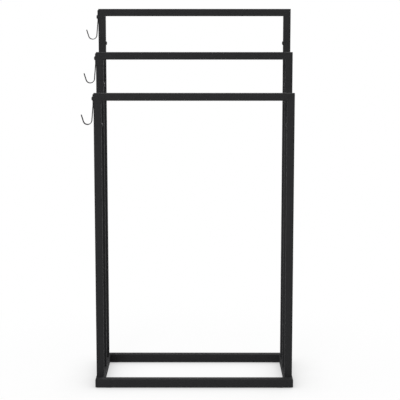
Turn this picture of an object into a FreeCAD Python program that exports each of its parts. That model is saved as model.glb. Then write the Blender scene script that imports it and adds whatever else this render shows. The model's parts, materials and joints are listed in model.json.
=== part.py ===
import FreeCAD, Part
import math
import os
from collections import namedtuple

# A freestanding towel stand. Three hanging frames of square steel tube, each
# higher than the one in front of it, stand on a flat rectangle of slightly
# bigger tube. Every frame comes apart at two butt seams: its welded top slips
# over sleeves in its two legs and one button-head screw locks each side. A bent
# strip hook is screwed to the outside of each left-hand post.
#
# Millimetres. +X is to the right and +Y to the back, seen from the front; +Z is
# up. The pieces are worked out about the stand's own middle plane; the last
# step puts the origin on the floor under the middle of the overall box.

Vector = FreeCAD.Vector
UP = Vector(0, 0, 1)
DOWN = Vector(0, 0, -1)
LEFT = Vector(-1, 0, 0)
SIDES = {"left": -1, "right": 1}

# ---- base: four mitred lengths of square tube, flat on thin pads
base_width = 512.0
base_depth = 263.0
base_tube = 22.0
base_wall = 1.5
base_edge = 1.2
glide_thickness = 1.2
glide_size = 16.0
glide_inset = 34.0

# ---- hanging frames: smaller square tube, one behind the other
frame_tube = 19.0
frame_wall = 1.2
frame_edge = 1.0
tier_spacing = 96.0
front_height = 761.0
middle_height = 860.0
back_height = 970.0

# ---- butt seams, each with a sleeve inside and one locking screw below it
front_joint_drop = 81.0
middle_joint_drop = 84.5
back_joint_drop = 90.0
seam_above_screw = 11.0
sleeve_reach = 35.0
sleeve_wall = 3.0
sleeve_clearance = 0.15

# ---- M6 screws: button heads where they show, hexagon heads inside the base
thread_radius = 3.0
head_radius = 5.25
head_height = 2.8
socket_across_flats = 4.0
socket_depth = 1.5
crown_radius = 3.6
joint_screw_length = 12.0
hook_screw_length = 12.0
leg_bolt_length = 14.0
screw_hole_clearance = 0.3
thread_clearance = 0.05

# ---- tapped plugs welded into the leg ends, and the socket key's way to the bolts
plug_height = 16.0
plug_clearance = 0.1
bolt_across_flats = 10.0
bolt_head_height = 4.0
access_hole_radius = 7.25

# ---- hooks: one flat strip, bent four times
front_hook_screw_drop = 14.0
middle_hook_screw_drop = 15.5
back_hook_screw_drop = 21.0
hook_top_drop = 3.0
hook_width = 12.0
hook_gauge = 1.8
hook_flat_run = 24.0
hook_lean = 5.0
hook_lean_radius = 70.0
hook_lean_run = 36.5
hook_bowl_radius = 10.2
hook_tip_splay = 17.0
hook_tip_run = 18.0
hook_end_radius = 4.0
hook_turning_clearance = 0.06

# ---- hexagonal rivet nuts that take the hook screws
rivet_flange_radius = 5.8
rivet_flange = 0.5
rivet_across_flats = 9.0
rivet_bulge_across_flats = 11.0
rivet_bulge_length = 3.0
rivet_length = 11.0
rivet_clearance = 0.05

# ---- places that follow from the sizes above
base_top = glide_thickness + base_tube
rail_x = (base_width - base_tube) / 2
bar_y = (base_depth - base_tube) / 2
base_middle_z = glide_thickness + base_tube / 2
post_half = frame_tube / 2
frame_half_width = rail_x + post_half
sleeve_size = frame_tube - 2 * (frame_wall + sleeve_clearance)
plug_size = frame_tube - 2 * (frame_wall + plug_clearance)
hook_back_gap = rivet_flange + hook_turning_clearance

Tier = namedtuple("Tier", "name y top joint_z hook_screw_z")


def make_tier(name, place, top, joint_drop, hook_screw_drop):
    """One hanging frame: place counts tiers towards the back from the middle one."""
    return Tier(name, place * tier_spacing, top, top - joint_drop, top - hook_screw_drop)


TIERS = [
    make_tier("front", -1, front_height, front_joint_drop, front_hook_screw_drop),
    make_tier("middle", 0, middle_height, middle_joint_drop, middle_hook_screw_drop),
    make_tier("back", 1, back_height, back_joint_drop, back_hook_screw_drop),
]


# ---- shapes shared by several pieces

def square_bar(size, length, edge=0):
    """A square bar standing on the origin, its four long edges bevelled by edge."""
    bar = Part.makeBox(size, size, length, Vector(-size / 2, -size / 2, 0))
    if edge:
        long_edges = [side for side in bar.Edges if side.BoundBox.ZLength > length / 2]
        bar = bar.makeChamfer(edge, long_edges)
    return bar


def square_tube(start, end, size, wall, edge):
    """A hollow square tube whose centre line runs from start to end."""
    along = end - start
    tube = square_bar(size, along.Length, edge)
    tube = tube.cut(square_bar(size - 2 * wall, along.Length))
    tube.Placement = FreeCAD.Placement(start, FreeCAD.Rotation(UP, along))
    return tube


def mitred(tube, corner, away):
    """The tube without what lies beyond the plane through corner, on its away side."""
    reach = 4 * max(base_tube, frame_tube)
    waste = square_bar(reach, reach)
    waste.Placement = FreeCAD.Placement(corner, FreeCAD.Rotation(UP, away))
    return tube.cut(waste)


def round_hole(center, direction, radius, depth):
    """A cylinder to cut with: it starts at center and runs along direction."""
    return Part.makeCylinder(radius, depth, center, direction)


def hexagon(across_flats, height):
    """A six-sided prism standing on the origin."""
    corner_radius = across_flats / math.sqrt(3)
    corners = [
        Vector(corner_radius * math.cos(math.pi * k / 3), corner_radius * math.sin(math.pi * k / 3), 0)
        for k in range(7)
    ]
    return Part.Face(Part.makePolygon(corners)).extrude(UP * height)


def turned(profile):
    """A solid turned about Z from a closed outline of (radius, height) pairs."""
    corners = [Vector(radius, 0, height) for radius, height in profile]
    outline = Part.makePolygon(corners + corners[:1])
    return Part.Face(outline).revolve(Vector(0, 0, 0), UP, 360)


def button_screw(seat, outwards, length):
    """A domed screw: the underside of its head lies on seat, its head faces outwards."""
    screw = turned([
        (0, head_height),
        (crown_radius, head_height),
        (head_radius, 0),
        (thread_radius, 0),
        (thread_radius, -length),
        (0, -length),
    ])
    socket = hexagon(socket_across_flats, socket_depth)
    socket.translate(Vector(0, 0, head_height - socket_depth))
    screw = screw.cut(socket)
    screw.Placement = FreeCAD.Placement(seat, FreeCAD.Rotation(UP, outwards))
    return screw


def hexagon_bolt(seat, outwards, length):
    """A plain bolt: the underside of its head lies on seat, its head faces outwards."""
    bolt = hexagon(bolt_across_flats, bolt_head_height)
    bolt = bolt.fuse(Part.makeCylinder(thread_radius, length, Vector(0, 0, 0), DOWN))
    bolt.Placement = FreeCAD.Placement(seat, FreeCAD.Rotation(UP, outwards))
    return bolt


# ---- base

def base_bars():
    """The two long tubes across the front and the back, mitred at both ends."""
    bars = {}
    for name, depth_side in (("front", -1), ("back", 1)):
        y = depth_side * bar_y
        half = base_width / 2
        bar = square_tube(
            Vector(-half, y, base_middle_z), Vector(half, y, base_middle_z), base_tube, base_wall, base_edge
        )
        for side in SIDES.values():
            corner = Vector(side * half, depth_side * base_depth / 2, base_middle_z)
            bar = mitred(bar, corner, Vector(side, -depth_side, 0))
        bars[f"base_{name}_bar"] = bar
    return bars


def base_rails():
    """The two short side tubes, holed over each leg bolt and below it for the key."""
    rails = {}
    for name, side in SIDES.items():
        x = side * rail_x
        half = base_depth / 2
        rail = square_tube(
            Vector(x, -half, base_middle_z), Vector(x, half, base_middle_z), base_tube, base_wall, base_edge
        )
        for depth_side in (-1, 1):
            corner = Vector(side * base_width / 2, depth_side * half, base_middle_z)
            rail = mitred(rail, corner, Vector(-side, depth_side, 0))
        for tier in TIERS:
            top = Vector(x, tier.y, base_top)
            bottom = Vector(x, tier.y, glide_thickness)
            rail = rail.cut(round_hole(top, DOWN, thread_radius + screw_hole_clearance, 2 * base_wall))
            rail = rail.cut(round_hole(bottom, UP, access_hole_radius, 2 * base_wall))
        rails[f"base_{name}_rail"] = rail
    return rails


def glides():
    """Thin square pads stuck under the ends of the two long tubes."""
    pads = {}
    for depth_name, depth_side in (("front", -1), ("back", 1)):
        for name, side in SIDES.items():
            pad = square_bar(glide_size, glide_thickness)
            pad.translate(Vector(side * (base_width / 2 - glide_inset), depth_side * bar_y, 0))
            pads[f"glide_{depth_name}_{name}"] = pad
    return pads


# ---- hanging frames

def legs(tier):
    """The lower posts, each holed on its inner face for the locking screw."""
    posts = {}
    for name, side in SIDES.items():
        x = side * rail_x
        seam = tier.joint_z + seam_above_screw
        leg = square_tube(
            Vector(x, tier.y, base_top), Vector(x, tier.y, seam), frame_tube, frame_wall, frame_edge
        )
        inner_face = Vector(x - side * post_half, tier.y, tier.joint_z)
        hole = round_hole(inner_face, Vector(side, 0, 0), thread_radius + screw_hole_clearance, 2 * frame_wall)
        posts[f"leg_{tier.name}_{name}"] = leg.cut(hole)
    return posts


def foot_plugs():
    """Square steel plugs welded flush into the leg ends, tapped for the leg bolts."""
    plugs = {}
    for name, side in SIDES.items():
        group = []
        for tier in TIERS:
            plug = square_bar(plug_size, plug_height)
            plug = plug.cut(Part.makeCylinder(thread_radius + thread_clearance, plug_height))
            plug.translate(Vector(side * rail_x, tier.y, base_top))
            group.append(plug)
        plugs[f"foot_plugs_{name}"] = Part.makeCompound(group)
    return plugs


def frame_top(tier):
    """The welded top: a bar and two short posts, mitred where they meet."""
    pieces = {}
    bar_z = tier.top - post_half
    bar = square_tube(
        Vector(-frame_half_width, tier.y, bar_z), Vector(frame_half_width, tier.y, bar_z),
        frame_tube, frame_wall, frame_edge,
    )
    for name, side in SIDES.items():
        x = side * rail_x
        corner = Vector(side * frame_half_width, tier.y, tier.top)
        bar = mitred(bar, corner, Vector(side, 0, -1))
        post = square_tube(
            Vector(x, tier.y, tier.joint_z + seam_above_screw), Vector(x, tier.y, tier.top),
            frame_tube, frame_wall, frame_edge,
        )
        post = mitred(post, corner, Vector(-side, 0, 1))
        if name == "left":
            hole = hexagon(rivet_across_flats + 2 * rivet_clearance, 4 * frame_wall)
            hole.translate(DOWN * 2 * frame_wall)
            outer_face = Vector(-frame_half_width, tier.y, tier.hook_screw_z)
            hole.Placement = FreeCAD.Placement(outer_face, FreeCAD.Rotation(UP, LEFT)).multiply(hole.Placement)
            post = post.cut(hole)
        pieces[f"upper_post_{tier.name}_{name}"] = post
    pieces[f"top_bar_{tier.name}"] = bar
    return pieces


def joint_sleeves(tier):
    """Thick square sleeves across the seams, tapped for the locking screws.

    Each is welded into the frame's top and slides into the leg below.
    """
    sleeves = {}
    for name, side in SIDES.items():
        x = side * rail_x
        sleeve = square_bar(sleeve_size, 2 * sleeve_reach)
        sleeve = sleeve.cut(square_bar(sleeve_size - 2 * sleeve_wall, 2 * sleeve_reach))
        sleeve.translate(Vector(x, tier.y, tier.joint_z + seam_above_screw - sleeve_reach))
        inner_face = Vector(x - side * sleeve_size / 2, tier.y, tier.joint_z)
        bore = round_hole(inner_face, Vector(side, 0, 0), thread_radius + thread_clearance, 2 * sleeve_wall)
        sleeves[f"joint_sleeve_{tier.name}_{name}"] = sleeve.cut(bore)
    return sleeves


def joint_screws(tier):
    """The two screws on the inner faces that lock a top to its legs."""
    screws = []
    for side in SIDES.values():
        seat = Vector(side * (rail_x - post_half), tier.y, tier.joint_z)
        screws.append(button_screw(seat, Vector(-side, 0, 0), joint_screw_length))
    return Part.makeCompound(screws)


def leg_bolts():
    """Bolts up through the side tubes into the foot plugs, three to a side."""
    bolts = {}
    for name, side in SIDES.items():
        seats = [Vector(side * rail_x, tier.y, base_top - base_wall) for tier in TIERS]
        group = [hexagon_bolt(seat, DOWN, leg_bolt_length) for seat in seats]
        bolts[f"leg_bolts_{name}"] = Part.makeCompound(group)
    return bolts


# ---- hooks

def strip_side(start, inner_step):
    """One long edge of the bent strip, as line and arc edges in the XZ plane.

    The strip runs down, leans outwards, curls round the bowl and ends in a splayed
    tip. Every bend turns the same way, so an edge that lies inner_step nearer the
    bend centres has the same straight runs and radii smaller by inner_step.
    """
    bowl_turn = 180 - hook_lean - hook_tip_splay
    bends = [(hook_lean_radius, hook_lean), (hook_bowl_radius + hook_gauge, bowl_turn)]
    runs = [hook_flat_run, hook_lean_run, hook_tip_run]
    edges = []
    place = start
    heading = 0.0
    for index, run in enumerate(runs):
        ahead = Vector(-math.sin(heading), 0, -math.cos(heading))
        edges.append(Part.makeLine(place, place + ahead * run))
        place = place + ahead * run
        if index < len(bends):
            radius, degrees = bends[index]
            radius -= inner_step
            turn = math.radians(degrees)
            center = place + Vector(-math.cos(heading), 0, math.sin(heading)) * radius
            middle, end = [
                center + Vector(math.cos(heading + part), 0, -math.sin(heading + part)) * radius
                for part in (turn / 2, turn)
            ]
            edges.append(Part.Arc(place, middle, end).toShape())
            place = end
            heading += turn
    return edges, place


def hook(tier):
    """A strip hook: its bent side face drawn out to the strip's width, ends rounded."""
    post_face = -frame_half_width
    top = tier.top - hook_top_drop
    back_start = Vector(post_face - hook_back_gap, 0, top)
    front_start = back_start + LEFT * hook_gauge
    back_edges, back_end = strip_side(back_start, 0)
    front_edges, front_end = strip_side(front_start, hook_gauge)
    ends = [Part.makeLine(back_end, front_end), Part.makeLine(front_start, back_start)]
    outline = Part.Wire(Part.__sortEdges__(back_edges + front_edges + ends))
    strip = Part.Face(outline).extrude(Vector(0, hook_width, 0))
    strip.translate(Vector(0, tier.y - hook_width / 2, 0))
    end_corners = [edge for edge in strip.Edges if abs(edge.Length - hook_gauge) < hook_gauge / 100]
    strip = strip.makeFillet(hook_end_radius, end_corners)
    hole = round_hole(
        Vector(post_face, tier.y, tier.hook_screw_z), LEFT,
        thread_radius + hook_turning_clearance, 2 * (hook_back_gap + hook_gauge),
    )
    return strip.cut(hole)


def hook_screws():
    """The screws that the hooks turn on, one to a hook."""
    seat_gap = hook_back_gap + hook_gauge + hook_turning_clearance
    seats = [Vector(-frame_half_width - seat_gap, tier.y, tier.hook_screw_z) for tier in TIERS]
    return Part.makeCompound([button_screw(seat, LEFT, hook_screw_length) for seat in seats])


def hook_rivet_nuts():
    """The rivet nuts that take those screws, each squeezed out behind the tube's wall."""
    nuts = []
    for tier in TIERS:
        body = hexagon(rivet_across_flats, rivet_length)
        bulge = hexagon(rivet_bulge_across_flats, rivet_bulge_length)
        bulge.translate(UP * (rivet_length - frame_wall - rivet_bulge_length))
        flange = Part.makeCylinder(rivet_flange_radius, rivet_flange, UP * rivet_length)
        nut = body.multiFuse([bulge, flange])
        nut = nut.cut(Part.makeCylinder(thread_radius + thread_clearance, rivet_length + rivet_flange))
        nut.translate(DOWN * rivet_length)
        seat = Vector(-frame_half_width, tier.y, tier.hook_screw_z)
        nut.Placement = FreeCAD.Placement(seat, FreeCAD.Rotation(UP, LEFT)).multiply(nut.Placement)
        nuts.append(nut)
    return Part.makeCompound(nuts)


# ---- the whole stand

pieces = {}
pieces.update(base_bars())
pieces.update(base_rails())
pieces.update(glides())
pieces.update(foot_plugs())
pieces.update(leg_bolts())
for tier in TIERS:
    pieces.update(legs(tier))
    pieces.update(frame_top(tier))
    pieces.update(joint_sleeves(tier))
    pieces[f"joint_screws_{tier.name}"] = joint_screws(tier)
    pieces[f"hook_{tier.name}"] = hook(tier)
pieces["hook_screws"] = hook_screws()
pieces["hook_rivet_nuts"] = hook_rivet_nuts()

overall = Part.makeCompound(list(pieces.values())).BoundBox
to_origin = Vector(-(overall.XMin + overall.XMax) / 2, 0, 0)

os.makedirs("parts", exist_ok=True)
for name, shape in pieces.items():
    placed = shape.copy()
    placed.translate(to_origin)
    placed.exportStep(f"parts/{name}.step")

print(f"{len(pieces)} pieces, stand's middle plane at x = {to_origin.x:.3f}")
print(f"overall {overall.XLength:.2f} x {overall.YLength:.2f} x {overall.ZLength:.2f}")
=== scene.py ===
# %% [markdown]
# # A freestanding towel stand in black square tube
#
# Three hanging frames of square steel tube stand one behind the other on a flat
# rectangle of slightly bigger tube, and each frame is taller than the one in front of
# it. A bent strip hook is screwed to the outside of each left-hand post.
#
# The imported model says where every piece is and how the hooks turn. This file gives
# each piece that shows its real surface: rounded tube corners, cut ends, domed screws,
# bent hooks, powder coat. The stand's lengths are worked out in millimetres, the maker's
# unit, and turned to Blender's metres when a mesh is made.

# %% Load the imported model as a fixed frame
import json
import math

import bmesh
import bpy
import numpy as np
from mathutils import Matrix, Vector


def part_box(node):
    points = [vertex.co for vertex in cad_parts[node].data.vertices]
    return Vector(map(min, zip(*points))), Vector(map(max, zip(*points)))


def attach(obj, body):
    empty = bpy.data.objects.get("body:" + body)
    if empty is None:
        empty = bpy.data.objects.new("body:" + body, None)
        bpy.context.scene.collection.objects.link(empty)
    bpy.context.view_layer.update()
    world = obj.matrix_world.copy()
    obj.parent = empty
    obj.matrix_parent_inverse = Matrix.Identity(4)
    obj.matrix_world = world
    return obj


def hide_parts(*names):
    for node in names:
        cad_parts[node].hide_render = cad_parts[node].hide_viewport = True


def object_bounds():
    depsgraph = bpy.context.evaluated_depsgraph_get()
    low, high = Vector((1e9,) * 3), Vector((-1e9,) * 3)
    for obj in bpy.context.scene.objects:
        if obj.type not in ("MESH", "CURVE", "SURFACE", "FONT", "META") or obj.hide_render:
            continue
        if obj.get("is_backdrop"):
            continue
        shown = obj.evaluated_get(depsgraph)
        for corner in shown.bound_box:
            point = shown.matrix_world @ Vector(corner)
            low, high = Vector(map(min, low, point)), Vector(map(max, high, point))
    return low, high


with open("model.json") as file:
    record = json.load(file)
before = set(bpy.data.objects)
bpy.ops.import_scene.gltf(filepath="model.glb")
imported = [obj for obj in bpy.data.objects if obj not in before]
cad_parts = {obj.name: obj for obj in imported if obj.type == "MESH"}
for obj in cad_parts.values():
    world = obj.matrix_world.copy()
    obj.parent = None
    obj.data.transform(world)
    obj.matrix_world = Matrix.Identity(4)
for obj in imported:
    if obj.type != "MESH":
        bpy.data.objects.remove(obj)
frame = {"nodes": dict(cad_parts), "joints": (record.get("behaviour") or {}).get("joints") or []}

MM = 0.001
cad_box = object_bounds()
RIGHT, BACKWARD, UP = (1, 0, 0), (0, 1, 0), (0, 0, 1)
TIERS = ("front", "middle", "back")
SIDES = {"left": -1, "right": 1}

# %% [markdown]
# ## Colour and nodes
#
# A maker picks paint by eye on a screen or a swatch, as an sRGB value. Blender adds up
# light, so it needs the same colour in linear numbers. One function does that for every
# colour here, and one more adds a shader node with its settings and its links.
#
# Patterns are noises that read Object coordinates. Those are in metres, and a finish is
# thought of in millimetres, so a pattern's scale is worked out from its size in reality.

# %% Helpers for every material
def colour(hex_text):
    """An sRGB colour such as "1b1b1c" as linear red, green, blue and alpha."""
    part = np.array([int(hex_text[i:i + 2], 16) for i in (0, 2, 4)]) / 255
    linear = np.where(part <= 0.04045, part / 12.92, ((part + 0.055) / 1.055) ** 2.4)
    return (*linear.tolist(), 1.0)


def per_metre(size_mm):
    """The Scale that gives a noise pattern features of this size on Object coordinates."""
    return 1 / (size_mm * MM)


def add_node(tree, kind, inputs=None, **settings):
    """Adds one shader node. An input's value is a number, or an output to link it from."""
    node = tree.nodes.new("ShaderNode" + kind)
    for name, value in settings.items():
        setattr(node, name, value)
    for socket, value in (inputs or {}).items():
        if isinstance(value, bpy.types.NodeSocket):
            tree.links.new(value, node.inputs[socket])
        else:
            node.inputs[socket].default_value = value
    return node


def start_finish(name):
    """A new material, its node tree, its shader and the place on the object to read."""
    material = bpy.data.materials.new(name)
    material.use_nodes = True
    tree = material.node_tree
    place = add_node(tree, "TexCoord").outputs["Object"]
    return material, tree, tree.nodes["Principled BSDF"], place


print("mid grey 808080 in linear light:", round(colour("808080")[0], 3))

# %% [markdown]
# ## Black powder coat on the tubes
#
# The tubes are sprayed with dry polyester powder and baked, so the black is a skin about
# 0.08 mm thick that melts, flows a little and sets. It is a plastic, not a metal: its
# reflections are white and weak. This one is a fine-texture matte: grit in the powder
# breaks the gloss up, and the film is a little thicker in some places than in others.
#
# A flat black would look like a hole in the picture. Four noises give the skin its life:
# grit, whose tops are painted lighter as a painted highlight, the film's thickness, patches
# of gloss, and the wave from its melting. They run across the joints, as one spraying does.

# %% Powder coat
# The grit's two tones are painted light: a painted highlight on its tops, painted shade in its hollows.
GRIT_HOLLOW_PAINTED_SHADE, GRIT_TOP_PAINTED_LIT, THICK_FILM = "1c1c1d", "262627", "232324"
FILM_DRIFT_MM, GLOSS_PATCH_MM, WAVE_MM, WAVE_HEIGHT_MM = 45, 18, 4, 0.03
GLOSS_DRIFT = 0.03
# A resin's IOR is 1.5. Its specular level was matched to the picture, under the usual
# 0.5, because this studio is white on all sides and a glossier skin would turn grey.
RESIN_IOR, RESIN_SPECULAR = 1.5, 0.14


def powder_coat(name, roughness, grit_mm, grit_height_mm):
    """A matte black skin: fine grit, a slow wave from its melting, and a cloudy gloss."""
    material, tree, shader, place = start_finish(name)

    # The grit is about 0.3 mm in reality. That would vanish even from a step away, so it
    # is drawn two to three times coarser. Its tops are painted lighter than its hollows: a
    # painted highlight, as if they caught more light.
    grit = add_node(
        tree, "TexNoise",
        {"Vector": place, "Scale": per_metre(grit_mm), "Detail": 3.0, "Roughness": 0.6},
    ).outputs["Fac"]
    tops = add_node(tree, "MapRange", {"Value": grit, "From Min": 0.35, "From Max": 0.65})
    grit_painted_highlight = add_node(
        tree, "Mix",
        {"Factor": tops.outputs["Result"], "A": colour(GRIT_HOLLOW_PAINTED_SHADE), "B": colour(GRIT_TOP_PAINTED_LIT)},
        data_type="RGBA",
    )
    # The film's thickness drifts over a few centimetres and shades the black slightly.
    film = add_node(
        tree, "TexNoise", {"Vector": place, "Scale": per_metre(FILM_DRIFT_MM), "Detail": 3.0}
    )
    black = add_node(
        tree, "Mix",
        {
            "Factor": film.outputs["Fac"], "A": grit_painted_highlight.outputs["Result"],
            "B": colour(THICK_FILM),
        },
        data_type="RGBA",
    )
    tree.links.new(black.outputs["Result"], shader.inputs["Base Color"])

    # Spraying leaves patches a finger wide that are a touch glossier than the rest.
    cloud = add_node(
        tree, "TexNoise", {"Vector": place, "Scale": per_metre(GLOSS_PATCH_MM), "Detail": 4.0}
    )
    gloss = add_node(
        tree, "MapRange",
        {
            "Value": cloud.outputs["Fac"], "From Min": 0.3, "From Max": 0.7,
            "To Min": roughness - GLOSS_DRIFT, "To Max": roughness + GLOSS_DRIFT,
        },
    )
    tree.links.new(gloss.outputs["Result"], shader.inputs["Roughness"])

    # Under the grit runs a shallow wave, a few millimetres long: the orange peel of a
    # film that flowed before it set.
    peel = add_node(
        tree, "TexNoise", {"Vector": place, "Scale": per_metre(WAVE_MM), "Detail": 1.0}
    )
    wave = add_node(
        tree, "Bump",
        {"Height": peel.outputs["Fac"], "Strength": 0.5, "Distance": WAVE_HEIGHT_MM * MM},
    )
    skin = add_node(
        tree, "Bump",
        {
            "Height": grit, "Normal": wave.outputs["Normal"],
            "Strength": 1.0, "Distance": grit_height_mm * MM,
        },
    )
    tree.links.new(skin.outputs["Normal"], shader.inputs["Normal"])
    shader.inputs["IOR"].default_value = RESIN_IOR
    shader.inputs["Specular IOR Level"].default_value = RESIN_SPECULAR
    return material


tube_coat = powder_coat(
    "polyester powder coat, matte black", roughness=0.82, grit_mm=0.8, grit_height_mm=0.12
)
# On the hooks' narrow strip the coat is drawn a bit finer and smoother.
hook_coat = powder_coat(
    "polyester powder coat on bent strip", roughness=0.72, grit_mm=0.6, grit_height_mm=0.06
)
print("made:", tube_coat.name, "and", hook_coat.name)

# %% [markdown]
# ## The other finishes
#
# - Screws: black zinc, a plated and blackened steel. It is smoother than powder coat, so
#   the domes catch a soft point of light. The dark film hides the metal's own colour, so
#   it is made as a black that isn't a metal.
# - Sleeves, plugs and bolts inside the tubes: clear zinc plate, a bluish bright metal
#   with faint cloudy patches where the bath passivated it.
# - Pads under the base: moulded rubber, dead matte with a very fine grain.
#
# All three are two tones of one colour in cloudy patches, under a fine grain.

# %% Black zinc, clear zinc and rubber
PATCH_GLOSS_DRIFT = 0.05
# Rubber and a dull dark film reflect less than a glossy plastic, whose level is 0.5.
DULL_SPECULAR = 0.3


def grained_finish(name, dark, light, metallic, roughness, patch_mm, grain_mm, grain_height_mm):
    """A two-tone surface in cloudy patches, with a fine grain that breaks its highlight."""
    material, tree, shader, place = start_finish(name)
    patch = add_node(
        tree, "TexNoise", {"Vector": place, "Scale": per_metre(patch_mm), "Detail": 3.0}
    ).outputs["Fac"]
    tone = add_node(
        tree, "Mix", {"Factor": patch, "A": colour(dark), "B": colour(light)}, data_type="RGBA"
    )
    gloss = add_node(
        tree, "MapRange",
        {
            "Value": patch, "From Min": 0.3, "From Max": 0.7,
            "To Min": roughness - PATCH_GLOSS_DRIFT, "To Max": roughness + PATCH_GLOSS_DRIFT,
        },
    )
    grain = add_node(
        tree, "TexNoise", {"Vector": place, "Scale": per_metre(grain_mm), "Detail": 2.0}
    )
    skin = add_node(
        tree, "Bump",
        {"Height": grain.outputs["Fac"], "Strength": 0.6, "Distance": grain_height_mm * MM},
    )
    tree.links.new(tone.outputs["Result"], shader.inputs["Base Color"])
    tree.links.new(gloss.outputs["Result"], shader.inputs["Roughness"])
    tree.links.new(skin.outputs["Normal"], shader.inputs["Normal"])
    shader.inputs["Metallic"].default_value = metallic
    if not metallic:
        shader.inputs["Specular IOR Level"].default_value = DULL_SPECULAR
    return material


screw_finish = grained_finish(
    "black zinc on steel", "161617", "1b1b1c", metallic=0.0, roughness=0.45,
    patch_mm=2.5, grain_mm=0.4, grain_height_mm=0.02,
)
zinc_plate = grained_finish(
    "clear zinc plate on steel", "b9bec4", "d3d5d2", metallic=1.0, roughness=0.32,
    patch_mm=6.0, grain_mm=0.5, grain_height_mm=0.01,
)
rubber = grained_finish(
    "moulded rubber", "151515", "1c1c1b", metallic=0.0, roughness=0.85,
    patch_mm=5.0, grain_mm=0.5, grain_height_mm=0.04,
)
print("made:", screw_finish.name, zinc_plate.name, rubber.name, sep="\n  ")

# %% [markdown]
# ## From rings of points to a closed piece
#
# Nearly everything here is a skin made of rings: a square ring carried along a tube, a
# round ring carried up a screw. Numpy works out all the points of a ring at once, and the
# faces are the squares between neighbours. The last ring either joins the first again,
# which is how a hollow tube closes, or each end shrinks to a point.
#
# Box and cylinder primitives would be quicker, but they give knife edges and no bore.

# %% Rings to mesh
SAME_POINT_MM = 0.001


def ring_bands(rings, points):
    """The squares of a stack of rings: point i of ring j with its neighbours i+1 and j+1.

    One band for each ring. The last one joins the last ring to the first.
    """
    index = np.arange(rings * points).reshape(rings, points)
    beside = np.roll(index, -1, axis=1)
    return np.stack([index, beside, np.roll(beside, -1, axis=0), np.roll(index, -1, axis=0)], -1)


def outward(mesh):
    """Merges points that coincide, then turns every face to the outside."""
    work = bmesh.new()
    work.from_mesh(mesh)
    bmesh.ops.remove_doubles(work, verts=work.verts, dist=SAME_POINT_MM * MM)
    bmesh.ops.recalc_face_normals(work, faces=work.faces)
    work.to_mesh(mesh)
    work.free()
    return mesh


def mesh_from_rings(name, rings, ring_closes):
    """A closed mesh from an array (ring, point, xyz) in millimetres, its faces outward."""
    ring_count, around = rings.shape[:2]
    points = rings.reshape(-1, 3)
    bands = ring_bands(ring_count, around)
    if ring_closes:
        faces = bands.reshape(-1, 4).tolist()
    else:
        points = np.concatenate([points, [rings[0].mean(0), rings[-1].mean(0)]])
        first_pole = np.full(around, ring_count * around)
        start, end = bands[0], bands[-1]
        caps = np.concatenate([
            np.stack([start[:, 1], start[:, 0], first_pole], -1),
            np.stack([end[:, 0], end[:, 1], first_pole + 1], -1),
        ])
        faces = bands[:-1].reshape(-1, 4).tolist() + caps.tolist()
    mesh = bpy.data.meshes.new(name)
    mesh.from_pydata(points * MM, [], faces)
    return outward(mesh)


print("three rings of four points give", len(ring_bands(3, 4).reshape(-1, 4)), "squares")

# %% A piece in its place
def size_of(node):
    """A node's centre and size in millimetres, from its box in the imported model."""
    low, high = (np.array(corner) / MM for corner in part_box(node))
    return (low + high) / 2, high - low


def place_piece(name, mesh, material, slot, body, *nodes):
    """Shows a mesh as the piece that stands for some nodes and rides on their body."""
    piece = bpy.data.objects.new(name, mesh)
    bpy.context.scene.collection.objects.link(piece)
    mesh.materials.append(material)
    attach(piece, body)
    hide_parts(*nodes)
    return piece


def smooth_shading(piece, sharp_above):
    """Smooth faces with hard edges only above that angle; flats stay flat beside curves."""
    faces = piece.data.polygons
    faces.foreach_set("use_smooth", np.ones(len(faces), bool))
    piece.data.set_sharp_from_angle(angle=math.radians(sharp_above))
    weighted = piece.modifiers.new("flats stay flat", "WEIGHTED_NORMAL")
    weighted.keep_sharp = True


print("a leg is", size_of("leg_front_left")[1].round(2), "mm")

# %% [markdown]
# ## A length of square tube
#
# Welded square tube is rolled from flat strip, so its corners are never sharp: outside
# they are rounded to about one and a half times the wall. That small round is what draws
# the thin line of light down each edge. The end is either sawn square, with its burr
# rubbed off, or mitred at 45 degrees and welded, ground flush and coated over.
#
# The skin is a rounded square carried along the outside, over the cut end, back down the
# bore and over the other end. At a mitre each point is pulled back by its own distance
# inside the tube's outer face, which is all that a 45 degree cut does.

# %% The tube's surface
# Each stock tube's wall and outside corner radius.
BASE_TUBE, FRAME_TUBE = (1.5, 2.3), (1.2, 1.9)
# How far each edge of a cut is rounded: rubbed with a file, or ground flush at a weld.
SAW_EASE, MITRE_EASE = 0.45, 0.08


def rounded_square(half, corner, steps=6):
    """A square's outline as (p, q) points: a quarter arc at each corner, straight between."""
    quarter = np.arange(4)[:, None] * np.pi / 2
    angle = quarter + np.linspace(0, np.pi / 2, steps + 1)
    reach = (half - corner) * math.sqrt(2)
    p = reach * np.cos(quarter + np.pi / 4) + corner * np.cos(angle)
    q = reach * np.sin(quarter + np.pi / 4) + corner * np.sin(angle)
    return np.stack([p.ravel(), q.ravel()], -1)


def cut_end(wall, ease, steps=3):
    """A wall's end as (inset from the outer face, distance back from the cut) pairs.

    It is two quarter arcs of radius ease: over the outer edge and over the bore's edge.
    """
    turn = np.linspace(0, np.pi / 2, steps + 1)
    inset = ease * (1 - np.cos(turn))
    back = ease * (1 - np.sin(turn))
    return np.stack([np.r_[inset, (wall - inset)[::-1]], np.r_[back, back[::-1]]], -1)


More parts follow.
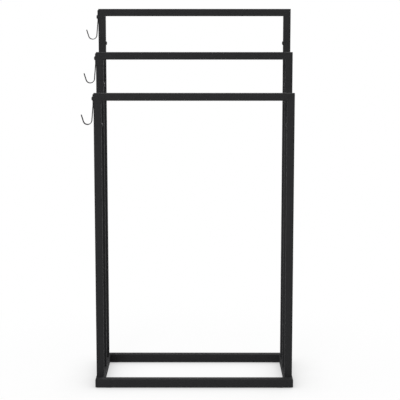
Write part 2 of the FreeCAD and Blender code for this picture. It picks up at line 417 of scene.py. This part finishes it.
def tube_mesh(node, along, outer, tube, start_mitred, end_mitred):
    """A hollow square tube that fills a node's box.

    A point is start + across * outer + aside * sideways + place * along. A mitred end
    moves its place back by half - across, its distance inside the outer face.
    """
    wall, corner = tube
    centre, size = size_of(node)
    along, outer = np.array(along, float), np.array(outer, float)
    sideways = np.cross(along, outer)
    length = abs(along @ size)
    half = abs(outer @ size) / 2
    start = centre - along * length / 2
    rings = []
    for mitred, at_end in ((end_mitred, True), (start_mitred, False)):
        profile = cut_end(wall, MITRE_EASE if mitred else SAW_EASE)
        for inset, back in profile if at_end else profile[::-1]:
            outline = rounded_square(half - inset, corner - inset)
            across, aside = outline[:, :1], outline[:, 1:]
            back_here = back + (half - across if mitred else 0 * across)
            place = length - back_here if at_end else back_here
            rings.append(start + across * outer + aside * sideways + place * along)
    return mesh_from_rings(node + "_tube", np.array(rings), ring_closes=True)


leg_skin = tube_mesh("leg_front_left", UP, (-1, 0, 0), FRAME_TUBE, False, False)
print("a leg's skin has", len(leg_skin.vertices), "points")
bpy.data.meshes.remove(leg_skin)

# %% [markdown]
# ## The base
#
# Four lengths of 22 mm tube, 1.5 mm thick, mitred into a flat rectangle. The side tubes
# are drilled from above for the three bolts that hold each side's legs, and wider from
# below so that a socket key reaches the bolts' heads. Those holes show only when the
# stand is turned over, and a Boolean is the plain way to drill a finished skin.

# %% Drilling through a tube's wall
DRILL_RUN_UP, DRILL_STROKE = 1.0, 4.0
SCREW_HOLE_RADIUS, KEY_HOLE_RADIUS = 3.3, 7.25


def hole_mesh(at_face, inwards, radius, sides=48):
    """A drill through one wall: two rings, one a little off its face and one beyond it.

    A ring's point is its middle + radius * (cos angle * first + sin angle * second).
    """
    inwards = np.array(inwards, float)
    first = np.roll(np.abs(inwards), 1)
    second = np.cross(inwards, first)
    angle = np.arange(sides)[:, None] * 2 * np.pi / sides
    middle = np.array(at_face) - inwards * DRILL_RUN_UP
    ring = middle + radius * (np.cos(angle) * first + np.sin(angle) * second)
    rings = np.stack([ring, ring + inwards * DRILL_STROKE])
    return mesh_from_rings("drill", rings, ring_closes=False)


def drill(mesh, hole_meshes):
    """The mesh with holes cut by a Boolean, then merged and turned outward again."""
    work = bpy.data.objects.new("work", mesh)
    bpy.context.scene.collection.objects.link(work)
    tools = []
    for hole in hole_meshes:
        tool = bpy.data.objects.new("drill", hole)
        bpy.context.scene.collection.objects.link(tool)
        cut = work.modifiers.new("drill", "BOOLEAN")
        cut.object = tool
        cut.solver = "EXACT"
        tools.append(tool)
    ready = work.evaluated_get(bpy.context.evaluated_depsgraph_get())
    drilled = bpy.data.meshes.new_from_object(ready)
    drilled.name = mesh.name
    for used in (work, *tools):
        bpy.data.objects.remove(used)
    return outward(drilled)


print(f"a drill goes {DRILL_STROKE - DRILL_RUN_UP} mm into a tube")

# %% Base tubes
tubes = []


def add_tube(node, along, outer, tube, start_mitred, end_mitred, holes=()):
    """Makes the tube that fills a node's box, drills it and shows it in its coat."""
    mesh = tube_mesh(node, along, outer, tube, start_mitred, end_mitred)
    if holes:
        mesh = drill(mesh, holes)
    tubes.append(place_piece(f"{node}_tube", mesh, tube_coat, "black_powder_coat", "stand", node))


for end, outer in (("front", (0, -1, 0)), ("back", (0, 1, 0))):
    add_tube(f"base_{end}_bar", RIGHT, outer, BASE_TUBE, True, True)

for side_name, side in SIDES.items():
    rail = f"base_{side_name}_rail"
    centre, size = size_of(rail)
    top, bottom = centre[2] + size[2] / 2, centre[2] - size[2] / 2
    holes = []
    for tier in TIERS:
        x, y, _ = size_of(f"leg_{tier}_{side_name}")[0]
        holes.append(hole_mesh((x, y, top), (0, 0, -1), SCREW_HOLE_RADIUS))
        holes.append(hole_mesh((x, y, bottom), UP, KEY_HOLE_RADIUS))
    add_tube(rail, BACKWARD, (side, 0, 0), BASE_TUBE, True, True, holes)
print("base tubes:", [tube.name for tube in tubes])

# %% [markdown]
# ## Legs and frame tops
#
# The hanging frames are 19 mm tube, 1.2 mm thick. Each leg is sawn square at both ends
# and stands on the base. Above it is a welded top: a bar and two short posts, mitred at
# the corners. Leg and short post meet in a butt seam, and the rubbed-off burr of the two
# sawn ends is what lets that seam show as a fine dark line through the black.

# %% Frame tubes
for tier in TIERS:
    screw_z = size_of(f"joint_screws_{tier}")[0][2]
    for side_name, side in SIDES.items():
        outer = (side, 0, 0)
        leg = f"leg_{tier}_{side_name}"
        centre, size = size_of(leg)
        inner_face = (centre[0] - side * size[0] / 2, centre[1], screw_z)
        hole = hole_mesh(inner_face, outer, SCREW_HOLE_RADIUS)
        add_tube(leg, UP, outer, FRAME_TUBE, False, False, [hole])
        add_tube(f"upper_post_{tier}_{side_name}", UP, outer, FRAME_TUBE, False, True)
    add_tube(f"top_bar_{tier}", RIGHT, UP, FRAME_TUBE, True, True)

for tube in tubes:
    smooth_shading(tube, sharp_above=35)
print(len(tubes), "tubes,", sum(len(tube.data.polygons) for tube in tubes), "faces")

# %% [markdown]
# ## Button-head screws
#
# Each joint is locked by one screw on the inside of the post, and each hook turns on one.
# They are M6 button heads: a low dome, a small flat on top and a six-sided socket for the
# key. A cylinder with a bevel would lose both the dome and the socket.
#
# The screw is turned: a ring carried along a profile of (radius, height) from the tip of
# the shank to the bottom of the socket. In the socket the ring's radius follows a hexagon
# instead of a circle: half the width across flats, divided by the cosine of the angle
# from the middle of the nearest flat.

# %% Screw profile
THREAD_RADIUS, SHANK_LENGTH, SHANK_POINT = 3.0, 12.0, 0.5
HEAD_RADIUS, HEAD_HEIGHT = 5.25, 2.8
# The dome starts at the top of a low straight rim and ends at a small flat.
RIM_HEIGHT, FLAT_RADIUS, DOME_ROWS = 0.35, 2.95, 12
# The head's underside is a hair above its seat, so that a hook turns free of it.
HEAD_GAP = 0.02
# The edge under the rim is broken: (in from the rim, up from the underside).
RIM_BREAK = ((0.2, 0.0), (0.05, 0.08))
SOCKET_FLATS, SOCKET_DEPTH = 4.0, 1.5
# The socket's mouth is a short cone: (out from a flat, down from the top, share of hexagon).
SOCKET_MOUTH = ((0.62, 0.0, 0), (0.45, 0.05, 0), (0.0, 0.35, 1))
# Its bottom dips a little, inside this share of the width across flats.
BOTTOM_SHARE, BOTTOM_DIP = 0.8, 0.05


def screw_profile():
    """Rows of (radius, height, share of hexagon) from the shank's tip to the socket.

    Up the dome the radius falls with the cosine of an angle, and the height rises with
    its sine, as on an ellipse.
    """
    shank = [
        (THREAD_RADIUS - SHANK_POINT, -SHANK_LENGTH, 0),
        (THREAD_RADIUS, SHANK_POINT - SHANK_LENGTH, 0),
        (THREAD_RADIUS, HEAD_GAP, 0),
    ]
    underside = [(HEAD_RADIUS - inset, HEAD_GAP + rise, 0) for inset, rise in RIM_BREAK]
    last = math.acos(FLAT_RADIUS / HEAD_RADIUS)
    angle = np.linspace(0, last, DOME_ROWS)
    dome_height = RIM_HEIGHT + (HEAD_HEIGHT - RIM_HEIGHT) * np.sin(angle) / math.sin(last)
    dome = np.stack([HEAD_RADIUS * np.cos(angle), dome_height, 0 * angle], -1)
    flat, end = SOCKET_FLATS / 2, HEAD_HEIGHT - SOCKET_DEPTH
    mouth = [(flat + outset, HEAD_HEIGHT - drop, share) for outset, drop, share in SOCKET_MOUTH]
    bottom = [(flat, end, 1), (flat * BOTTOM_SHARE, end - BOTTOM_DIP, 0)]
    return np.concatenate([shank, underside, dome, mouth, bottom])


print("a screw's profile has", len(screw_profile()), "rows")

# %% Joint screws and hook screws
def screw_mesh(name, seat, outwards, around=48):
    """A screw whose head lies on seat: its profile turned about the axis outwards."""
    radius, height, hexagonal = screw_profile().T[:, :, None]
    angle = np.arange(around) * 2 * np.pi / around
    from_flat = (angle + np.pi / 6) % (np.pi / 3) - np.pi / 6
    radius = radius * (1 + hexagonal * (1 / np.cos(from_flat) - 1))
    outwards, upward = np.array(outwards, float), np.array(UP, float)
    level = np.cross(outwards, upward)
    rings = (
        np.array(seat)
        + (radius * np.cos(angle))[..., None] * upward
        + (radius * np.sin(angle))[..., None] * level
        + (height + 0 * angle)[..., None] * outwards
    )
    return mesh_from_rings(name, rings, ring_closes=False)


screws = []


def add_screws(node, seats):
    """Shows one piece that holds a node's screws, given as (seat, outward way) pairs."""
    work = bmesh.new()
    for seat, outwards in seats:
        work.from_mesh(screw_mesh(node, seat, outwards))
    mesh = bpy.data.meshes.new(f"{node}_turned")
    work.to_mesh(mesh)
    work.free()
    screws.append(place_piece(mesh.name, mesh, screw_finish, "black_screw", "stand", node))


for tier in TIERS:
    node = f"joint_screws_{tier}"
    centre, size = size_of(node)
    # The node's box ends at the shanks' tips, inside the posts.
    reach = size[0] / 2 - SHANK_LENGTH
    sides = SIDES.values()
    add_screws(node, [(centre + (side * reach, 0, 0), (-side, 0, 0)) for side in sides])

# On the left this node's box ends at the tops of the heads.
centre, size = size_of("hook_screws")
seat_x = centre[0] - size[0] / 2 + HEAD_HEIGHT
pivots = [np.array(joint["pos_m"]) / MM for joint in frame["joints"]]
add_screws("hook_screws", [((seat_x, y, z), (-1, 0, 0)) for _, y, z in pivots])
for screw in screws:
    smooth_shading(screw, sharp_above=30)
print(len(screws), "sets of screws,", sum(len(s.data.polygons) for s in screws), "faces")

# %% [markdown]
# ## Strip hooks
#
# A hook starts as a flat blank, 12 mm wide and 1.8 mm thick, with round corners and one
# punched hole. It is bent in a tool: flat against the post, a slight lean outwards, round
# the bowl, and a short splayed tip.
#
# So it is made here as the maker makes it. First the flat blank, as points (s, v): s is
# the way along the strip and v across it. Then each point is laid on the bent centre
# line, which is the running sum of the strip's heading. Solidify gives the sheet its
# thickness, which stays even round the bends, and Bevel breaks the sheared edges.

# %% The flat blank
HOOK_WIDTH, HOOK_GAUGE, HOOK_CORNER = 12.0, 1.8, 4.0
# The hole's radius is 3.06 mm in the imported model. Here its edge is short straight lines,
# which reach up to 0.05 mm inwards, so it is a little wider to stay clear of the screw.
HOLE_RADIUS = 3.15
RUNS = (24.0, 36.5, 18.0)
LEAN, SPLAY = math.radians(5), math.radians(17)
# The tool's radii are for the strip's back face. The centre line's are half a gauge less.
LEAN_RADIUS, BOWL_RADIUS = 70.0 - HOOK_GAUGE / 2, 12.0 - HOOK_GAUGE / 2
BENDS = (LEAN_RADIUS * LEAN, BOWL_RADIUS * (math.pi - LEAN - SPLAY))
HOOK_LENGTH = sum(RUNS) + sum(BENDS)
ACROSS = np.linspace(1, -1, 11)
QUARTER = np.linspace(0, np.pi / 2, 9)


def holed_end(hole_at, rings=8, edge_steps=13, crowding=1.3):
    """The blank's first run as rings of (s, v) that open from the hole to the outline.

    The outline is the cut across the strip, one long edge, two quarter arcs and the other
    long edge. A ring's point is rim + share * (outline - rim), on one ray from the hole,
    and the shares crowd towards the hole, whose edge is the finest part.
    """
    end_at, half, corner = RUNS[0], HOOK_WIDTH / 2, HOOK_CORNER
    inner = half - corner
    edge = np.linspace(end_at, corner, edge_steps + 1)[1:-1]
    outline = np.concatenate([
        np.stack([0 * ACROSS + end_at, half * ACROSS], -1),
        np.stack([edge, 0 * edge - half], -1),
        np.stack([corner - corner * np.sin(QUARTER), -inner - corner * np.cos(QUARTER)], -1),
        np.stack([corner - corner * np.cos(QUARTER), inner + corner * np.sin(QUARTER)], -1),
        np.stack([edge[::-1], 0 * edge + half], -1),
    ])
    ray = outline - (hole_at, 0)
    rim = (hole_at, 0) + HOLE_RADIUS * ray / np.linalg.norm(ray, axis=1, keepdims=True)
    share = np.linspace(0, 1, rings)[:, None, None] ** crowding
    return rim + share * (outline - rim)


def plain_length(step=0.9):
    """The rest of the blank as rows of (s, v); its tip narrows along two quarter arcs."""
    start_at, corner_at = RUNS[0], HOOK_LENGTH - HOOK_CORNER
    straight = np.linspace(start_at, corner_at, round((corner_at - start_at) / step) + 1)
    s = np.r_[straight, corner_at + HOOK_CORNER * np.sin(QUARTER[1:])]
    past = np.clip(s - corner_at, 0, HOOK_CORNER)
    half = HOOK_WIDTH / 2 - HOOK_CORNER + np.sqrt(HOOK_CORNER**2 - past**2)
    return np.stack([s[:, None] + 0 * ACROSS, half[:, None] * ACROSS], -1)


print(f"the blank is {HOOK_LENGTH:.1f} mm long")

# %% Bending the blank
def centre_line(s, steps=6000):
    """The bent centre line's (x, z) after a length s: the running sum of its heading.

    The heading is 0 straight down. It grows evenly along each bend, by the lean and then
    by the bowl's turn, and stays as it is on the straight runs.
    """
    ends = np.cumsum([0, RUNS[0], BENDS[0], RUNS[1], BENDS[1], RUNS[2]])
    headings = [0, 0, LEAN, LEAN, math.pi - SPLAY, math.pi - SPLAY]
    fine = np.linspace(0, HOOK_LENGTH, steps + 1)
    step = fine[1]
    heading = np.interp(fine[:-1] + step / 2, ends, headings)
    x = np.r_[0, -np.cumsum(np.sin(heading)) * step]
    z = np.r_[0, -np.cumsum(np.cos(heading)) * step]
    return np.interp(s, fine, x), np.interp(s, fine, z)


def hook_sheet(name, top, hole_at):
    """The blank's points laid on the bent centre line, as one open sheet of squares.

    The holed end is the first straight run, so that its hole lies in the flat.
    """
    rings, rows = holed_end(hole_at), plain_length()
    flat = np.concatenate([rings.reshape(-1, 2), rows.reshape(-1, 2)])
    x, z = centre_line(flat[:, 0])
    points = np.array(top) + np.stack([x, flat[:, 1], z], -1)
    ring_count, around = rings.shape[:2]
    bands = ring_bands(ring_count, around)[:-1]
    index = ring_count * around + np.arange(rows[..., 0].size).reshape(rows.shape[:2])
    grid = np.stack([index[:-1, :-1], index[:-1, 1:], index[1:, 1:], index[1:, :-1]], -1)
    squares = np.concatenate([bands.reshape(-1, 4), grid.reshape(-1, 4)])
    mesh = bpy.data.meshes.new(name)
    mesh.from_pydata(points * MM, [], squares.tolist())
    return outward(mesh)


x, z = centre_line(HOOK_LENGTH)
print(f"the tip ends {-x:.1f} mm out from the flat run and {-z:.1f} mm below its top")

# %% The three hooks
BROKEN_EDGE, BEVEL_STEPS, EDGE_ANGLE = 0.3, 3, 50
hooks = []
for joint in frame["joints"]:
    tier = joint["child"].removesuffix("_hook")
    node = f"hook_{tier}"
    centre, size = size_of(node)
    top = centre + size / 2 * (1, 0, 1) - (HOOK_GAUGE / 2, 0, 0)
    mesh = hook_sheet(f"{node}_strip", top, top[2] - joint["pos_m"][2] / MM)
    piece = place_piece(mesh.name, mesh, hook_coat, "black_coated_strip", joint["child"], node)
    thick = piece.modifiers.new("gauge", "SOLIDIFY")
    thick.thickness, thick.offset = HOOK_GAUGE * MM, 0
    thick.use_even_offset = True
    broken = piece.modifiers.new("broken edges", "BEVEL")
    broken.width, broken.segments = BROKEN_EDGE * MM, BEVEL_STEPS
    broken.limit_method, broken.angle_limit = "ANGLE", math.radians(EDGE_ANGLE)
    smooth_shading(piece, sharp_above=EDGE_ANGLE)
    hooks.append(piece)
print("hooks:", [piece.name for piece in hooks])

# %% [markdown]
# ## Pads
#
# Four thin rubber pads keep the steel off the floor. They are punched from sheet, so the
# outline is a rounded square and the edges are only slightly soft. The same rounded
# square as the tubes', stacked in a few rings and closed at the middle, is enough.

# %% The four pads
PAD_CORNER = 2.0
# A soft edge, as (in from the outline, up from the face): under it, on it and over it.
PAD_EDGE = ((0.2, 0.0), (0.06, 0.06), (0.0, 0.2))


def pad_mesh(node):
    """A rounded square plate that fills the node's box, with both its edges softened."""
    centre, size = size_of(node)
    profile = [*PAD_EDGE, *((inset, size[2] - rise) for inset, rise in PAD_EDGE[::-1])]
    rings = []
    for inset, rise in profile:
        outline = rounded_square(size[0] / 2 - inset, PAD_CORNER - inset)
        level = np.full((len(outline), 1), rise - size[2] / 2)
        rings.append(centre + np.concatenate([outline, level], 1))
    return mesh_from_rings(node + "_punched", np.array(rings), ring_closes=False)


pads = []
for node in sorted(name for name in frame["nodes"] if name.startswith("glide_")):
    mesh = pad_mesh(node)
    pad = place_piece(mesh.name, mesh, rubber, "rubber_pad", "stand", node)
    smooth_shading(pad, sharp_above=50)
    pads.append(pad)
print("pads:", [pad.name for pad in pads])

# %% [markdown]
# ## What stays as it was packed
#
# The sleeves, plugs, bolts and rivet nuts are inside the tubes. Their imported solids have
# the right shape already, so they only get the finish of the real ones. That is clear
# zinc, and black zinc on the rivet nuts, whose flanges show as a thin edge behind the
# hooks.

# %% Hidden steel gets its finish
hidden = [name for name, node in frame["nodes"].items() if not node.hide_render]
for name in hidden:
    materials = frame["nodes"][name].data.materials
    materials.clear()
    materials.append(screw_finish if name == "hook_rivet_nuts" else zinc_plate)
print(len(hidden), "packed nodes keep their own shape")

# %% [markdown]
# ## Floor and backdrop
#
# The stand is shown on a plain white floor that runs into a white background, with only
# a soft shadow a hand wide where it stands. A white sweep of paper would do it, but a
# real sweep turns grey at its far end unless much light is poured on it.
#
# So the floor is white paint that also glows, for the rays that see it directly, in a
# mirror or through glass. To light, it stays white paint all over. The paint's share, a
# tenth close to the stand, keeps the lamps' shadows. The glow is dimmed where the stand
# is close above it, by ambient occlusion: a painted shadow, the soft dark rim round the
# base. Its square root makes that painted shadow fade slowly outside and keeps it black
# in the narrow gap under the tubes. With distance the glow takes over, and at strength 1
# it is the background's white.

# %% Floor paint
GLOW_AT_STAND, GLOW_FAR_OFF = 0.9, 1.0
FADE_STARTS_M, FADE_ENDS_M = 0.3, 0.9
RIM_WIDTH_M, RIM_RAYS, RIM_POWER = 0.12, 16, 0.5
floor_x = size_of("base_front_bar")[0][0]


def seen_rays(tree):
    """An output that is 1 for rays that see directly, in a mirror or through glass."""
    ray = add_node(tree, "LightPath").outputs
    seen = ray["Is Camera Ray"]
    for kind in ("Is Glossy Ray", "Is Transmission Ray"):
        seen = add_node(tree, "Math", {0: seen, 1: ray[kind]}, operation="MAXIMUM").outputs[0]
    return seen


floor_paint = bpy.data.materials.new("matt white floor paint")
floor_paint.use_nodes = True
tree = floor_paint.node_tree
tree.nodes.clear()
place = add_node(tree, "TexCoord").outputs["Object"]
from_middle = add_node(
    tree, "VectorMath", {0: place, 1: (floor_x * MM, 0, 0)}, operation="DISTANCE"
)
fade = add_node(
    tree, "MapRange",
    {
        "Value": from_middle.outputs["Value"], "From Min": FADE_STARTS_M, "From Max": FADE_ENDS_M,
        "To Min": GLOW_AT_STAND, "To Max": GLOW_FAR_OFF,
    },
    interpolation_type="SMOOTHSTEP",
)
glow_share = add_node(
    tree, "Math", {0: seen_rays(tree), 1: fade.outputs["Result"]}, operation="MULTIPLY"
)
# Ambient occlusion dims the floor's glow near the stand: a painted shadow round the base.
near = add_node(tree, "AmbientOcclusion", {"Distance": RIM_WIDTH_M}, samples=RIM_RAYS)
soft = add_node(tree, "Math", {0: near.outputs["AO"], 1: RIM_POWER}, operation="POWER")
paint = add_node(tree, "BsdfDiffuse", {"Color": colour("fbfbfb")})
glow = add_node(tree, "Emission", {"Color": colour("ffffff"), "Strength": soft.outputs[0]})
mixed = add_node(
    tree, "MixShader", {0: glow_share.outputs[0], 1: paint.outputs[0], 2: glow.outputs[0]}
)
add_node(tree, "OutputMaterial", {"Surface": mixed.outputs[0]})
print("floor paint:", len(tree.nodes), "nodes")

# %% The floor itself
FLOOR_RADIUS = 9000


def floor_disc(radius_mm, rings=24, around=96):
    """A flat disc at z = 0: rings whose radius grows with the square of their number."""
    radius = radius_mm * np.linspace(0, 1, rings + 1)[1:, None] ** 2
    angle = np.arange(around) * 2 * np.pi / around
    x = floor_x + radius * np.cos(angle)
    y = radius * np.sin(angle)
    points = np.stack([x, y, 0 * x], -1).reshape(-1, 3)
    bands = ring_bands(rings, around)
    middle = np.full(around, rings * around)
    fan = np.stack([middle, bands[0, :, 0], bands[0, :, 1]], -1)
    mesh = bpy.data.meshes.new("floor")
    mesh.from_pydata(
        np.concatenate([points, [[floor_x, 0, 0]]]) * MM, [],
        bands[:-1].reshape(-1, 4).tolist() + fan.tolist(),
    )
    return mesh


floor = bpy.data.objects.new("floor", floor_disc(FLOOR_RADIUS))
bpy.context.scene.collection.objects.link(floor)
floor.data.materials.append(floor_paint)
floor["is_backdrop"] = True
print("floor:", len(floor.data.polygons), "faces")

# %% [markdown]
# ## Light
#
# The studio light in the picture is soft, with no hard shadow and hardly any difference
# between the faces. The world gives part of it, from all sides, and a wide soft box
# overhead gives the bars' tops theirs. The key is a soft box above the camera and a
# little to its left: so each post shades the one behind it, which tells the three left
# posts apart, while the right posts' inner faces stay lighter. A third box, behind the
# stand and to its right, does the same for someone who walks round it.

# %% World
WORLD_LIGHT, BACKDROP_WHITE = 0.3, 1.0
world = bpy.data.worlds.new("white studio")
bpy.context.scene.world = world
world.use_nodes = True
tree = world.node_tree
tree.nodes.clear()
seen = seen_rays(tree)
lighting = add_node(tree, "Background", {"Color": colour("ffffff"), "Strength": WORLD_LIGHT})
white = add_node(tree, "Background", {"Color": colour("ffffff"), "Strength": BACKDROP_WHITE})
mixed = add_node(tree, "MixShader", {0: seen, 1: lighting.outputs[0], 2: white.outputs[0]})
add_node(tree, "OutputWorld", {"Surface": mixed.outputs[0]})
print("world:", len(tree.nodes), "nodes")

# %% Soft boxes
AT_THE_BASE, AT_HALF_HEIGHT = (0, 0, 0), (0, 0, 0.45)


def soft_box(name, place, aim, width, watts):
    """A square area lamp of that width in metres, at place and turned towards aim."""
    data = bpy.data.lights.new(name, "AREA")
    data.size = width
    data.energy = watts
    lamp = bpy.data.objects.new(name, data)
    lamp.location = place
    lamp.rotation_euler = (Vector(aim) - Vector(place)).to_track_quat("-Z", "Y").to_euler()
    bpy.context.scene.collection.objects.link(lamp)


soft_box("overhead soft box", (-0.2, -0.2, 2.8), AT_THE_BASE, width=2.4, watts=22)
soft_box("key soft box", (-0.6, -3.3, 2.0), AT_HALF_HEIGHT, width=1.1, watts=74)
soft_box("back soft box", (1.1, 3.0, 2.0), AT_HALF_HEIGHT, width=1.6, watts=46)

# %% [markdown]
# ## Camera
#
# The picture is taken from straight in front with a long lens, from a little above the
# back bar, so each bar shows a sliver of its top face. The upright lines of the picture
# are exactly parallel, as with a lens that is shifted down and not tilted. Such a shift
# would push the object out of every other view, so the camera is tilted down instead, by
# an angle and a focal length that put the bars and the posts' feet nearly in their places.

# %% Camera
SENSOR_MM, LENS_MM = 36, 118.7
CAMERA_PLACE = (0.036, -3.434, 1.0)
DOWN_DEGREES, LEFT_DEGREES = 8.73, 0.094
camera_data = bpy.data.cameras.new("camera")
camera_data.sensor_width = SENSOR_MM
camera_data.lens = LENS_MM
camera = bpy.data.objects.new("camera", camera_data)
camera.location = CAMERA_PLACE
camera.rotation_euler = (math.radians(90 - DOWN_DEGREES), 0, math.radians(LEFT_DEGREES))
bpy.context.scene.collection.objects.link(camera)
bpy.context.scene.camera = camera
bpy.context.scene.view_settings.view_transform = "Standard"
print("lens", LENS_MM, "mm, tilted down", DOWN_DEGREES, "degrees")

# %% Compare the boxes
visual_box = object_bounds()
boxes = {"cad": [list(corner) for corner in cad_box], "visual": [list(corner) for corner in visual_box]}
for name, (low, high) in boxes.items():
    print(name, [round((b - a) / MM, 2) for a, b in zip(low, high)], "mm")
